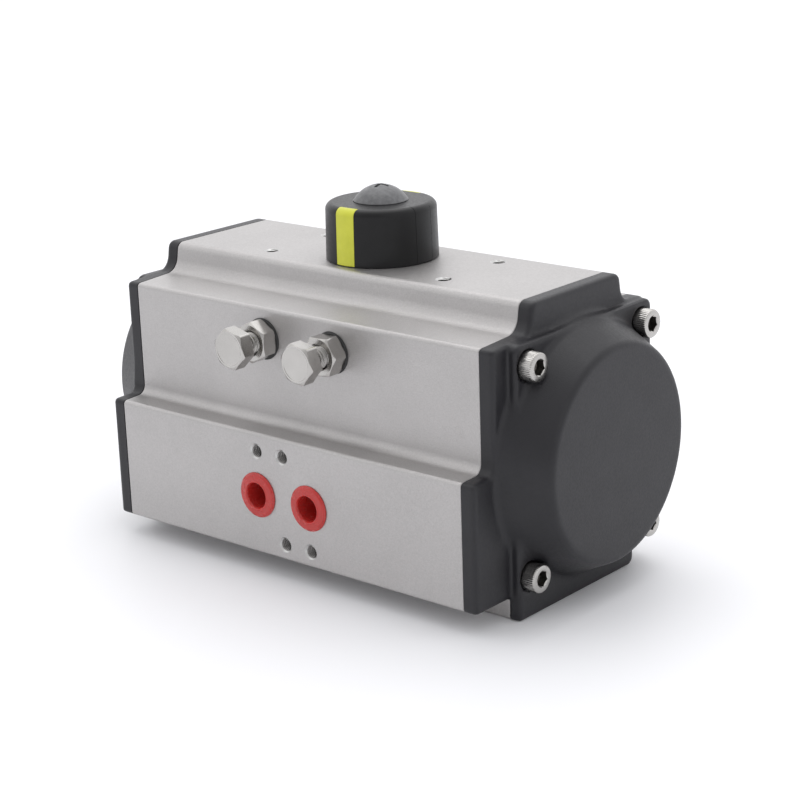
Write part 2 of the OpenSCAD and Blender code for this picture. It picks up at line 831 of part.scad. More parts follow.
module stop_washer(side) {
    color(C_SEAL) at_stop(side, -upper_face_y) tube(stop_washer_r, m8_r + stop_washer_gap, 0, stop_washer_t);
}

module stop_o_ring(side) {
    color(C_SEAL) at_stop(side, -upper_face_y + stop_seat_depth / 2)
        torus(m8_r + 2 * thread_gap + stop_seal_r, stop_seal_r);
}

// ---------- port plugs ----------

plug_flange_r = 8.25;
plug_flange_t = 1.3;
plug_rim_r = 0.6;
plug_bore_r = 4.5;
plug_len = 9;               // reach of the plug into its port
plug_bore_depth = 8;
plug_gap = 0.08;

module port_plug(side) {
    color(C_PLUG) on_valve_face(side * port_x, port_z) difference() {
        union() {
            rotate_extrude() polygon(rounded([
                [0, 0, 0],
                [plug_flange_r, 0, 0],
                [plug_flange_r, plug_flange_t, plug_rim_r],
                [0, plug_flange_t, 0],
            ]));
            translate([0, 0, -plug_len]) cylinder(r = port_r - plug_gap, h = plug_len + EPS / 2);
        }
        translate([0, 0, -plug_bore_depth])
            cylinder(r = plug_bore_r, h = plug_bore_depth + plug_flange_t + EPS);
        translate([0, 0, plug_flange_t - plug_rim_r])
            cylinder(r1 = plug_bore_r, r2 = plug_bore_r + 0.8, h = plug_rim_r + 0.1);
    }
}

// ---------- nodes ----------

body();
end_cap(-1);  // end_cap_left
end_cap(1);  // end_cap_right
end_cap_seal(-1);  // end_cap_seal_left
end_cap_seal(1);  // end_cap_seal_right
transfer_seal(-1);  // transfer_seal_left
transfer_seal(1);  // transfer_seal_right
cap_screws(-1);  // cap_screws_left
cap_screws(1);  // cap_screws_right
piston(-1);  // piston_left
piston(1);  // piston_right
piston_o_ring(-1);  // piston_o_ring_left
piston_o_ring(1);  // piston_o_ring_right
piston_guide_ring(-1);  // piston_guide_ring_left
piston_guide_ring(1);  // piston_guide_ring_right
rack_guide(-1);  // rack_guide_left
rack_guide(1);  // rack_guide_right
pinion();
stop_cam();
pinion_bearing_bottom();
pinion_bearing_top();
pinion_o_ring_bottom();
pinion_o_ring_top();
thrust_washer();
backing_washer();
retaining_ring();
indicator_cap();
indicator_flag(-90);  // indicator_flag_front
indicator_flag(90);  // indicator_flag_back
indicator_blank(180);  // indicator_blank_left
indicator_blank(0);  // indicator_blank_right
indicator_screw();
stop_screw(-1, stop_face_left, 45);  // stop_screw_left
stop_screw(1, stop_face_right, 50);  // stop_screw_right
lock_nut(-1, 30);  // lock_nut_left
lock_nut(1, 2);  // lock_nut_right
stop_washer(-1);  // stop_washer_left
stop_washer(1);  // stop_washer_right
stop_o_ring(-1);  // stop_o_ring_left
stop_o_ring(1);  // stop_o_ring_right
port_plug(-1);  // port_plug_a
port_plug(1);  // port_plug_b
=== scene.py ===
"""Looks for the quarter-turn pneumatic actuator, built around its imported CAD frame.

Meshes are made in millimetres, and finish_piece turns them into Blender's metres.
X runs along the cylinder bore, Z up the pinion, and the ports and stop screws face -Y.
"""

import json
import math

import bmesh
import bpy
import numpy as np
from mathutils import Matrix, Vector


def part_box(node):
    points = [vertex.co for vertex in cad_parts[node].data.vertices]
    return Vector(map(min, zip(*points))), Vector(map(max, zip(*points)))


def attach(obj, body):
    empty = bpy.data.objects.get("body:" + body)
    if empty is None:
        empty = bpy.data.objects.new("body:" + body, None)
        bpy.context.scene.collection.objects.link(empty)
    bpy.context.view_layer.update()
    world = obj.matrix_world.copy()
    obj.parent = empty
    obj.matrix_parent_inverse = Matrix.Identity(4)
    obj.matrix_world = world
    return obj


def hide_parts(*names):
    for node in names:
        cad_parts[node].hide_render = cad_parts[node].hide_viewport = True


MM = 0.001
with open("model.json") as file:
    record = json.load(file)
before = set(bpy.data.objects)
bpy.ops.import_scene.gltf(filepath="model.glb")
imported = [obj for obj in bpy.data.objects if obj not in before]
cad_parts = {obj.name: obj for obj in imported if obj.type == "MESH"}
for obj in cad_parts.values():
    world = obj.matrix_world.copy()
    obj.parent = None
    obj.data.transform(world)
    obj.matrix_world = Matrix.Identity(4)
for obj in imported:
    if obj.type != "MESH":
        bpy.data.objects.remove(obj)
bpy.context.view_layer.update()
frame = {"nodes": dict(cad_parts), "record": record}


# ---------- places and sizes taken from the frame, in millimetres ----------

def node_box(node):
    """Lowest and highest corner of a CAD node in millimetres."""
    low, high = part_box(node)
    return np.array(low) / MM, np.array(high) / MM


body_low, body_high = node_box("body")
indicator_low, indicator_high = node_box("indicator_cap")
foot_low, foot_high = node_box("pinion_bearing_bottom")
top_bush_high = node_box("pinion_bearing_top")[1]

PAD_END = body_high[0]
BODY_TOP = body_high[2]
VALVE_FACE = body_low[1]
CAP_END = node_box("end_cap_right")[1][0]
BODY_END = CAP_END - 22.3   # joint between the body and the end cap
BORE_Z = (node_box("piston_right")[0][2] + node_box("piston_right")[1][2]) / 2
BORE_R = 36.0
DOME_R = body_high[1]
FLANGE = 5.4
BLOCK = 3.4
PAD_FRONT, PAD_BACK, PAD_H = -38.0, 31.0, 7.7
UPPER_FACE = node_box("stop_washer_left")[1][1]
BAND_TOP = 52.0
SHELF = 93.8
FLAT_BACK = 40.0
RIDGE_FOOT_Y, RIDGE_FOOT_Z, RIDGE_ROOT_R = 26.1, 94.8, 5.7
RIDGE_TOP_Y = 24.5
BLOCK_HALF, BLOCK_FOOT_BACK = 38.3, 27.5
SCREW_Y = 32.0
SCREW_Z = 36.0
SPOTFACE_R = 5.4
SPOTFACE_X = BODY_END + FLANGE + 2.15
STOP_X = 16.0
STOP_Z = 82.7
PORT_X = 12.0
PORT_Z = 29.4
VALVE_SCREW_DZ = 16.0
ACCESSORY_X, ACCESSORY_Y = 40.0, 15.0
F07_HALF = 24.75            # half the square on which the F07 flange's holes stand
F05_HALF = 17.68            # the same of the F05 flange
M5, M6, M8 = (2.5, 0.8), (3.0, 1.0), (4.0, 1.25)    # radius and pitch of each thread
SPIGOT_R = 35.85
ARC_STEPS = 10              # flats in each rounded corner


# ---------- outlines ----------

def unit(v):
    return v / np.linalg.norm(v)


def rounded(corners, steps=ARC_STEPS):
    """Closed outline from corners (a, b, radius), each rounded with an arc."""
    outline = []
    count = len(corners)
    for i, (a, b, radius) in enumerate(corners):
        corner = np.array([a, b])
        if radius == 0:
            outline.append(corner)
            continue
        before = unit(np.array(corners[i - 1][:2]) - corner)
        after = unit(np.array(corners[(i + 1) % count][:2]) - corner)
        half = math.acos(before @ after) / 2
        middle = corner + unit(before + after) * radius / math.sin(half)
        start = corner + before * radius / math.tan(half) - middle
        end = corner + after * radius / math.tan(half) - middle
        first = math.atan2(start[1], start[0])
        turn = math.atan2(start[0] * end[1] - start[1] * end[0], start @ end)
        for k in range(steps + 1):
            angle = first + turn * k / steps
            outline.append(middle + radius * np.array([math.cos(angle), math.sin(angle)]))
    return np.array(outline)


def back_bulge():
    """The arc of the cylinder wall where it stands out of the body's flat back."""
    reach = math.degrees(math.acos(FLAT_BACK / DOME_R))
    return [(DOME_R * math.cos(math.radians(a)), BORE_Z + DOME_R * math.sin(math.radians(a)), 0)
            for a in np.linspace(-reach, reach, 25)]


def body_outline(steps=ARC_STEPS):
    """The extrusion's section, from the pad's front edge round the back and over the ridge."""
    return rounded([
        (PAD_FRONT, 0, 1), (PAD_BACK, 0, 1), (PAD_BACK, PAD_H, 1.5), (FLAT_BACK, PAD_H, 4), *back_bulge(),
        (FLAT_BACK, SHELF + 0.4, 4), (RIDGE_FOOT_Y, RIDGE_FOOT_Z, RIDGE_ROOT_R), (RIDGE_TOP_Y, BODY_TOP, 3),
        (-RIDGE_TOP_Y, BODY_TOP, 3), (-RIDGE_FOOT_Y, RIDGE_FOOT_Z, RIDGE_ROOT_R),
        (UPPER_FACE, SHELF, 1.5), (UPPER_FACE, BAND_TOP + 0.4, 3.5),
        (VALVE_FACE, BAND_TOP, 1.5), (VALVE_FACE, PAD_H, 1.2), (PAD_FRONT, PAD_H, 1.5),
    ], steps)


def block_outline():
    """The raised block of the end cap round its dome."""
    return rounded([
        (-BLOCK_HALF, 0, 1.5), (BLOCK_FOOT_BACK, 0, 3), (BLOCK_FOOT_BACK, PAD_H, 1.5),
        (BLOCK_HALF, PAD_H, 3), (BLOCK_HALF, SHELF + 0.4, 3), (-BLOCK_HALF, SHELF + 0.4, 3),
    ])


def inset(outline, depth):
    """The outline moved inwards by depth along its corners' bisectors."""
    ahead = np.roll(outline, -1, axis=0) - outline
    normal = np.stack([ahead[:, 1], -ahead[:, 0]], axis=1)
    normal /= np.linalg.norm(normal, axis=1, keepdims=True)
    bisector = normal + np.roll(normal, 1, axis=0)
    bisector /= np.linalg.norm(bisector, axis=1, keepdims=True)
    return outline - depth * bisector


# ---------- meshes ----------

def add_mesh(name, points, faces, material):
    """A new object in the scene with one finish."""
    mesh = bpy.data.meshes.new(name)
    mesh.from_pydata(np.asarray(points, float).tolist(), [], [list(map(int, f)) for f in faces])
    mesh.materials.append(material)
    obj = bpy.data.objects.new(name, mesh)
    bpy.context.scene.collection.objects.link(obj)
    return obj


def face_outwards(obj):
    """Turns the faces of a closed mesh so that they look out of it."""
    bm = bmesh.new()
    bm.from_mesh(obj.data)
    bmesh.ops.recalc_face_normals(bm, faces=bm.faces)
    bm.to_mesh(obj.data)
    bm.free()
    return obj


def ring_grid(rings, closed_ends=True):
    """Points and faces of a skin through rings of equal count, with its end rings filled."""
    rings = [np.asarray(r, float) for r in rings]
    n = len(rings[0])
    points = np.concatenate(rings)
    faces = []
    for k in range(len(rings) - 1):
        for i in range(n):
            j = (i + 1) % n
            faces.append((k * n + i, k * n + j, (k + 1) * n + j, (k + 1) * n + i))
    if closed_ends:
        faces.append(range(n))
        faces.append(range((len(rings) - 1) * n, len(rings) * n))
    return points, faces


def place(points, axis, at):
    """Turns points drawn about +Z so that they stand along axis, and moves them to at."""
    turn = np.array(Vector((0, 0, 1)).rotation_difference(Vector(axis)).to_matrix())
    return np.asarray(points, float) @ turn.T + np.asarray(at, float)


def revolve(name, outline, material, axis=(0, 0, 1), at=(0, 0, 0), steps=96, phase=0.0):
    """Solid of revolution. The outline is (radius, height) from axis to axis, or a closed loop.

    Phase turns it by a part of a step, so that its edges don't lie on those of what it crosses.
    """
    angles = (np.arange(steps) + phase) * 2 * math.pi / steps
    points, faces, rows = [], [], []
    for radius, height in outline:
        if radius < 1e-9:
            rows.append([len(points)])
            points.append((0, 0, height))
        else:
            rows.append(list(range(len(points), len(points) + steps)))
            points += [(radius * math.cos(a), radius * math.sin(a), height) for a in angles]
    closed = len(rows[0]) > 1
    pairs = list(zip(rows, rows[1:])) + ([(rows[-1], rows[0])] if closed else [])
    for low, high in pairs:
        for i in range(steps):
            j = (i + 1) % steps
            if len(low) == 1 and len(high) > 1:
                faces.append((low[0], high[j], high[i]))
            elif len(high) == 1 and len(low) > 1:
                faces.append((low[i], low[j], high[0]))
            elif len(low) > 1:
                faces.append((low[i], low[j], high[j], high[i]))
    return face_outwards(add_mesh(name, place(points, axis, at), faces, material))


def rod(radius, start, length, axis=(0, 0, 1), at=(0, 0, 0), steps=64, end_radius=None):
    """A plain cutter: cylinder or cone from start along axis."""
    last = radius if end_radius is None else end_radius
    outline = [(0, start), (radius, start), (last, start + length), (0, start + length)]
    return revolve("cutter", outline, cutter_material, axis, at, steps, 0 if end_radius is None else 0.5)


def blind_hole(radius, depth, axis, at, steps):
    """A plain cutter for a hole whose mouth is at a point and opens along axis."""
    return rod(radius, -depth, depth + 1, axis, at, steps)


def slab(low, high):
    """A plain box cutter."""
    corners = [(x, y, z) for x in (low[0], high[0]) for y in (low[1], high[1]) for z in (low[2], high[2])]
    faces = [(0, 1, 3, 2), (4, 6, 7, 5), (0, 4, 5, 1), (2, 3, 7, 6), (0, 2, 6, 4), (1, 5, 7, 3)]
    return face_outwards(add_mesh("cutter", corners, faces, cutter_material))


def turned(name, profile, material, steps, axis=(0, 0, 1), at=(0, 0, 0), open_middle=False):
    """Like revolve, but the outline may change with the angle: profile(angle) gives its points."""
    angles = np.arange(steps) * 2 * math.pi / steps
    spokes = np.array([profile(a) for a in angles])
    rings = [np.column_stack([radius * np.cos(angles), radius * np.sin(angles), height])
             for radius, height in np.moveaxis(spokes, 0, -1)]
    if open_middle:
        rings.append(rings[0])
    points, faces = ring_grid(rings, not open_middle)
    obj = add_mesh(name, place(points, axis, at), faces, material)
    if open_middle:
        bm = bmesh.new()
        bm.from_mesh(obj.data)
        bmesh.ops.remove_doubles(bm, verts=bm.verts, dist=1e-5)
        bm.to_mesh(obj.data)
        bm.free()
    return face_outwards(obj)


def prism(outline, low, high, axis=(0, 0, 1), at=(0, 0, 0)):
    """A cutter with a flat outline drawn across axis."""
    rings = [np.column_stack([outline, np.full(len(outline), h)]) for h in (low, high)]
    points, faces = ring_grid(rings)
    return face_outwards(add_mesh("cutter", place(points, axis, at), faces, cutter_material))


def thread_rod(radius, pitch, depth, start, length, axis, at, steps=40, material=None, fine=8):
    """A rod whose surface is a helical thread of the given outer radius, in fine rings to a turn."""
    levels = np.arange(0, length + 1e-6, pitch / fine)
    angles = np.arange(steps) * 2 * math.pi / steps
    rings = []
    for z in levels:
        turn = 2 * math.pi * z / pitch - angles
        r = radius - depth * (0.5 + 0.5 * np.cos(turn)) ** 0.8
        rings.append(np.column_stack([r * np.cos(angles), r * np.sin(angles), np.full(steps, start + z)]))
    points, faces = ring_grid(rings)
    return face_outwards(add_mesh("thread", place(points, axis, at), faces, material or cutter_material))


def bake(obj):
    """Applies the object's modifiers to its mesh."""
    bpy.context.view_layer.update()
    graph = bpy.context.evaluated_depsgraph_get()
    mesh = bpy.data.meshes.new_from_object(obj.evaluated_get(graph))
    obj.modifiers.clear()
    obj.data = mesh
    return obj


def combine(obj, others, operation="DIFFERENCE"):
    """Boolean of obj with each of the others, which are then removed.

    A cutter with a finish of its own leaves that finish on the surface it cuts.
    """
    for other in others:
        if other.data.materials[0] == cutter_material:
            other.data.materials[0] = obj.data.materials[0]
        modifier = obj.modifiers.new("bool", "BOOLEAN")
        modifier.object = other
        modifier.operation = operation
        modifier.solver = "EXACT"
        modifier.material_mode = "TRANSFER"
    bake(obj)
    for other in others:
        bpy.data.objects.remove(other)
    return obj


def weld(obj, other):
    """Adds the other object's mesh to obj as a further shell, with its finish."""
    finishes = obj.data.materials
    for material in other.data.materials:
        if finishes.find(material.name) < 0:
            finishes.append(material)
    slots = [finishes.find(material.name) for material in other.data.materials]
    for face in other.data.polygons:
        face.material_index = slots[face.material_index]
    bm = bmesh.new()
    bm.from_mesh(obj.data)
    bm.from_mesh(other.data)
    bm.to_mesh(obj.data)
    bm.free()
    bpy.data.objects.remove(other)
    return obj


def mirrored(obj, name):
    """A copy of obj on the other side of the pinion's axis plane x = 0."""
    bm = bmesh.new()
    bm.from_mesh(obj.data)
    bmesh.ops.scale(bm, vec=(-1, 1, 1), verts=bm.verts)
    bmesh.ops.reverse_faces(bm, faces=bm.faces)
    mesh = bpy.data.meshes.new(name)
    bm.to_mesh(mesh)
    bm.free()
    for material in obj.data.materials:
        mesh.materials.append(material)
    copy = bpy.data.objects.new(name, mesh)
    bpy.context.scene.collection.objects.link(copy)
    return copy


def soften(obj, bevel=0.0, crease=32, wavy=None):
    """Smooth shading with crisp creases, and a fine bevel on the creases if one is given.

    A thread's flanks, known by their wavy finish, are shaded smooth all over.
    """
    mesh = obj.data
    mesh.polygons.foreach_set("use_smooth", [True] * len(mesh.polygons))
    mesh.set_sharp_from_angle(angle=math.radians(crease))
    if wavy:
        slot = mesh.materials.find(wavy.name)
        bm = bmesh.new()
        bm.from_mesh(mesh)
        for edge in bm.edges:
            if all(face.material_index == slot for face in edge.link_faces):
                edge.smooth = True
        bm.to_mesh(mesh)
        bm.free()
    if bevel:
        modifier = obj.modifiers.new("edge", "BEVEL")
        modifier.width = bevel * MM
        modifier.segments = 2
        modifier.limit_method = "ANGLE"
        modifier.angle_limit = math.radians(crease)
        modifier.harden_normals = False
    even = obj.modifiers.new("even", "WEIGHTED_NORMAL")
    even.keep_sharp = not bevel
    return obj


def finish_piece(obj, name, body, slot, *nodes):
    """Names a piece, sizes it in metres, hangs it on its body and lets it stand for its CAD nodes."""
    obj.name = name
    obj.data.transform(Matrix.Scale(MM, 4))
    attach(obj, body)
    if nodes:
        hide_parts(*nodes)
    return obj


# ---------- materials ----------

def new_material(name):
    """An empty node material, with its node tree and shader."""
    material = bpy.data.materials.new(name)
    material.use_nodes = True
    tree = material.node_tree
    shader = tree.nodes["Principled BSDF"]
    return material, tree, shader


def noise(tree, scale, detail=2.0, rough=0.5):
    """Noise in object space, so that its grain has a real size: scale is cells per metre."""
    place_node = tree.nodes.new("ShaderNodeTexCoord")
    node = tree.nodes.new("ShaderNodeTexNoise")
    node.inputs["Scale"].default_value = scale
    node.inputs["Detail"].default_value = detail
    node.inputs["Roughness"].default_value = rough
    tree.links.new(place_node.outputs["Object"], node.inputs["Vector"])
    return node.outputs["Fac"]


def ramp(tree, value, low, high, at_low=0.3, at_high=0.7):
    """Turns a value into a colour between two, low and high."""
    node = tree.nodes.new("ShaderNodeValToRGB")
    node.color_ramp.elements[0].position = at_low
    node.color_ramp.elements[0].color = low if len(low) == 4 else (*low, 1)
    node.color_ramp.elements[1].position = at_high
    node.color_ramp.elements[1].color = high if len(high) == 4 else (*high, 1)
    tree.links.new(value, node.inputs["Fac"])
    return node.outputs["Color"]


def grey(v):
    return (v, v, v, 1)


def add_bump(tree, shader, layers):
    """Chains bumps: each layer is (height, strength, distance in metres)."""
    normal = None
    for height, strength, distance in layers:
        bump = tree.nodes.new("ShaderNodeBump")
        bump.inputs["Strength"].default_value = strength
        bump.inputs["Distance"].default_value = distance
        tree.links.new(height, bump.inputs["Height"])
        if normal is not None:
            tree.links.new(normal, bump.inputs["Normal"])
        normal = bump.outputs["Normal"]
    tree.links.new(normal, shader.inputs["Normal"])


def surface(name, dark, light, rough_low, rough_high, metallic, grains, spread=180.0, speckle=0.0, **sockets):
    """A general surface: two close colours in soft patches, varied roughness and fine bumps.

    Spread and speckle are the cells per metre of the patches and of a finer grain mixed into them.
    Each grain is (cells per metre, strength, distance in metres) of one layer of bump.
    """
    material, tree, shader = new_material(name)
    patches = noise(tree, spread, 3.0)
    if speckle:
        blend = tree.nodes.new("ShaderNodeMix")
        blend.inputs["Factor"].default_value = 0.6
        tree.links.new(patches, blend.inputs["A"])
        tree.links.new(noise(tree, speckle, 1.0), blend.inputs["B"])
        patches = blend.outputs["Result"]
    tree.links.new(ramp(tree, patches, dark, light), shader.inputs["Base Color"])
    rough = ramp(tree, noise(tree, grains[0][0] * 0.5, 2.0), grey(rough_low), grey(rough_high))
    tree.links.new(rough, shader.inputs["Roughness"])
    shader.inputs["Metallic"].default_value = metallic
    for socket, value in sockets.items():
        shader.inputs[socket.replace("_", " ")].default_value = value
    add_bump(tree, shader, [(noise(tree, scale, 2.0), strength, distance)
                            for scale, strength, distance in grains])
    return material


cutter_material = bpy.data.materials.new("cutter")

anodised = surface("anodised_body", (0.434, 0.422, 0.417), (0.506, 0.492, 0.486), 0.42, 0.52, 0.85,
                   [(2200, 0.70, 0.00012), (1200, 0.35, 0.0001)], spread=40, speckle=1900)
# Bare aluminium of the tapped threads, drawn far darker than the mouth's bare aluminium: painted shade inside
# the holes.
hole_wall_shade = surface("hole_painted_shade", (0.20, 0.195, 0.19), (0.26, 0.25, 0.245), 0.16, 0.24, 1.0,
                [(1800, 0.10, 0.00004)], spread=400)
bright = surface("bare_aluminium", (0.50, 0.50, 0.49), (0.58, 0.58, 0.57), 0.26, 0.36, 1.0,
                 [(1800, 0.06, 0.00004)], spread=400)
# Inside of the screws' hex sockets: the same stainless drawn near black, as painted shade in the socket.
socket = surface("socket_depth", (0.07, 0.066, 0.06), (0.12, 0.115, 0.105), 0.30, 0.42, 0.9,
                 [(1800, 0.10, 0.00004)], spread=400)
coating = surface("coated_cap", (0.0105, 0.0102, 0.0130), (0.0145, 0.0142, 0.0172), 0.37, 0.48, 0.0,
                  [(2400, 0.45, 0.00008), (600, 0.12, 0.0001)], spread=90, Specular_IOR_Level=0.42)
stainless = surface("stainless", (0.45, 0.438, 0.42), (0.50, 0.487, 0.468), 0.19, 0.26, 1.0,
                    [(900, 0.03, 0.00004)], spread=120)
# Threads of the stainless screws, drawn in a darker copy of the stainless: painted shade of the grooves.
thread_shade = surface("thread_painted_shade", (0.34, 0.33, 0.315), (0.40, 0.39, 0.37), 0.22, 0.32, 1.0,
                 [(900, 0.03, 0.00004)], spread=120)
nickel = surface("plated_steel", (0.52, 0.51, 0.49), (0.60, 0.59, 0.57), 0.18, 0.32, 1.0,
                 [(1500, 0.08, 0.00004)], spread=300)
cast = surface("cast_aluminium", (0.42, 0.425, 0.44), (0.50, 0.505, 0.52), 0.42, 0.60, 0.9,
               [(1200, 0.3, 0.0001)], spread=150)
dark_steel = surface("dark_steel", (0.03, 0.03, 0.032), (0.05, 0.05, 0.052), 0.30, 0.45, 0.8,
                     [(1800, 0.12, 0.00005)], spread=300)
acetal = surface("bearing_plastic", (0.72, 0.70, 0.64), (0.80, 0.79, 0.73), 0.35, 0.50, 0.0,
                 [(1500, 0.08, 0.00005)], spread=200)
rubber = surface("seal_rubber", (0.012, 0.012, 0.012), (0.022, 0.022, 0.022), 0.45, 0.65, 0.0,
                 [(1800, 0.15, 0.00005)], spread=300)
black_plastic = surface("black_plastic", (0.003, 0.003, 0.0034), (0.005, 0.005, 0.0055), 0.32, 0.42, 0.0,
                        [(2400, 0.14, 0.00005)], spread=150, Specular_IOR_Level=0.33)
yellow_plastic = surface("yellow_plastic", (0.57, 0.585, 0.040), (0.63, 0.645, 0.052), 0.38, 0.50, 0.0,
                         [(2000, 0.10, 0.00004)], spread=200)
screw_plastic = surface("screw_plastic", (0.095, 0.096, 0.099), (0.150, 0.151, 0.156), 0.32, 0.44, 0.0,
                        [(1500, 0.35, 0.00008)], spread=700)
red_plastic = surface("red_plastic", (0.45, 0.026, 0.022), (0.50, 0.034, 0.030), 0.22, 0.30, 0.0,
                      [(700, 0.03, 0.00005)], spread=120, Subsurface_Weight=0.5,
                      Subsurface_Scale=0.002, Subsurface_Radius=(1.0, 0.12, 0.08))

SLOT_MATERIALS = {
    "anodised_body": anodised, "coated_cap": coating, "stainless": stainless,
    "cast_aluminium": cast, "plated_steel": nickel, "dark_steel": dark_steel,
    "bearing_plastic": acetal, "seal_rubber": rubber, "black_plastic": black_plastic,
    "yellow_plastic": yellow_plastic, "screw_plastic": screw_plastic, "red_plastic": red_plastic,
}


def dress_cad_nodes():
    """Gives every CAD node the procedural material of its slot."""
    for part in frame["record"]["subparts"]:
        obj = frame["nodes"][part["node"]]
        obj.data.materials.clear()
        obj.data.materials.append(SLOT_MATERIALS[part["material_slot"]])


# ---------- body ----------

def tapped_hole(thread, depth, axis, at):
    """Cutters for a threaded hole whose mouth is at a point and opens along axis.

    Neither the thread's rings nor the mouth's rim lie in the plane of the face that they open.
    """
    radius, pitch = thread
    thread_depth, ring_shift, steps = 0.61 * pitch, 0.037, 44
    mouth = rod(radius - 0.4, -0.62, 0.66, axis, at, steps, radius + 0.34)
    mouth.data.materials[0] = bright
    # The thread's walls take the material that holds the holes' painted shade.
    return [thread_rod(radius, pitch, thread_depth, ring_shift - depth, depth + 0.3, axis, at, steps, hole_wall_shade),
            mouth]


def add_pad_ends(body):
    """Runs the pad on under the end caps' flanges, a hair inside the extrusion's own foot."""
    pad = rounded([(PAD_FRONT, 0, 1), (PAD_BACK, 0, 1), (PAD_BACK, PAD_H + 0.5, 0),
                   (PAD_FRONT, PAD_H + 0.5, 0)], 7)
    hair, chamfer = 0.08, 0.3
    for side in (-1, 1):
        ends = [np.column_stack([np.full(len(pad), side * x), inset(pad, hair + depth)])
                for x, depth in ((BODY_END - 2, 0), (PAD_END - chamfer, 0), (PAD_END, chamfer))]
        foot = face_outwards(add_mesh("pad_end", *ring_grid(ends), anodised))
        above = slab((side * 70 - 20, -50, PAD_H - 0.05), (side * 70 + 20, 50, PAD_H + 5))
        combine(foot, [above])
        combine(body, [foot], "UNION")


def body_cutters():
    """Everything cut into the extrusion: the bore, and all that is drilled or tapped."""
    front, up, down, along = (0, -1, 0), (0, 0, 1), (0, 0, -1), (1, 0, 0)
    channel, channel_r = (0, -46.5, 39.3), 2.2
    journal_r, neck_r, cam_room_r, seat_gap = 15.56, 10.06, 21, 0.02
    cutters = [
        rod(BORE_R, -BODY_END - 1, 2 * BODY_END + 2, along, (0, 0, BORE_Z), 96),
        rod(journal_r, -1, BORE_Z, up),
        rod(foot_high[0] + seat_gap, foot_low[2], 20, up),
        rod(cam_room_r, 76, 12.5, up),
        rod(top_bush_high[0] + seat_gap, 87, top_bush_high[2] - 87, up),
        rod(neck_r, 80, 30, up),
        rod(channel_r, -BODY_END - 1, 2 * BODY_END + 2, along, channel, 24),
    ]
    for side in (-1, 1):
        for sy in (-1, 1):
            for sz in (-1, 1):
                at = (side * BODY_END, sy * SCREW_Y, BORE_Z + sz * SCREW_Z)
                cutters.append(blind_hole(3.05, 18, (side, 0, 0), at, 32))
        stop_at = (side * STOP_X, UPPER_FACE, STOP_Z)
        cutters.append(blind_hole(4.0, 30, front, stop_at, 40))
        cutters.append(blind_hole(6.0, 2, front, stop_at, 48))      # room for the O-ring under the washer
        port_at = (side * PORT_X, VALVE_FACE, PORT_Z)
        cutters.append(blind_hole(5.9, 12, front, port_at, 48))
        cutters.append(rod(5.7, -0.7, 0.8, front, port_at, 48, 6.5))    # chamfer at the port's mouth
    for sx in (-1, 1):
        for sy in (-1, 1):
            cutters += tapped_hole(M5, 9, up, (sx * ACCESSORY_X, sy * ACCESSORY_Y, BODY_TOP))
            cutters += tapped_hole(M8, 13, down, (sx * F07_HALF, sy * F07_HALF, 0))
            cutters += tapped_hole(M6, 10, down, (sx * F05_HALF, sy * F05_HALF, 0))
    for x, dz in ((-PORT_X, 1), (0, 1), (0, -1), (PORT_X, -1)):
        cutters += tapped_hole(M5, 8, front, (x, VALVE_FACE, PORT_Z + dz * VALVE_SCREW_DZ))
    return cutters


def make_body():
    """The extrusion: its section drawn out to length, the pad's ends, and every hole."""
    outline = body_outline()
    joint = ((0, 0.55), (0.16, 0.55), (0.2, 0.2), (0.45, 0))    # gap and broken edge at the end caps
    rings = []
    for x, depth in [(d - BODY_END, i) for d, i in joint] + [(BODY_END - d, i) for d, i in reversed(joint)]:
        section = inset(outline, depth)
        rings.append(np.column_stack([np.full(len(section), x), section]))
    body = face_outwards(add_mesh("housing_extrusion", *ring_grid(rings), anodised))
    add_pad_ends(body)
    combine(body, body_cutters())
    soften(body, wavy=hole_wall_shade)
    finish_piece(body, "housing_extrusion", "housing", "anodised_body", "body")


# ---------- end caps, as a distance field with blended fillets ----------

def outline_distance(outline, a, b):
    """Signed distance from points to a closed outline, negative inside."""
    best = np.full(a.shape, np.inf)
    inside = np.zeros(a.shape, bool)
    for (a0, b0), (a1, b1) in zip(outline, np.roll(outline, -1, axis=0)):
        ea, eb = a1 - a0, b1 - b0
        length = ea * ea + eb * eb
        if length < 1e-12:
            continue
        t = np.clip(((a - a0) * ea + (b - b0) * eb) / length, 0, 1)
        best = np.minimum(best, np.hypot(a - a0 - t * ea, b - b0 - t * eb))
        if abs(eb) > 1e-12:
            crosses = ((b0 > b) != (b1 > b)) & (a < ea * (b - b0) / eb + a0)
            inside ^= crosses
    return np.where(inside, -best, best)


def meet(a, b, r):
    """Intersection of two distances, with its convex edge rounded."""
    return np.minimum(np.maximum(a, b), -r) + np.hypot(np.maximum(a + r, 0), np.maximum(b + r, 0))


def blend_union(a, b, r):
    """Union of two distances, with its inner corner filled by a fillet."""
    return np.maximum(np.minimum(a, b), r) - np.hypot(np.maximum(r - a, 0), np.maximum(r - b, 0))


FLANGE_END = BODY_END + FLANGE
BLOCK_END = FLANGE_END + BLOCK
DOME_DRAFT = 6.6 / (CAP_END - BLOCK_END)    # how fast the dome narrows towards its face
FLANGE_EDGE, BLOCK_EDGE, DOME_EDGE, SPOTFACE_EDGE = 1.4, 1.0, 1.3, 0.4
BLOCK_FOOT, DOME_FOOT = 0.9, 1.4            # fillets where each stands on what is behind it
BLOCK_DRAFT, HOLLOW_DRAFT = 0.06, 0.07
CAP_WALL = 5.0
PAD_GAP = 0.1
CAP_SCREW_HOLE_R = 3.3


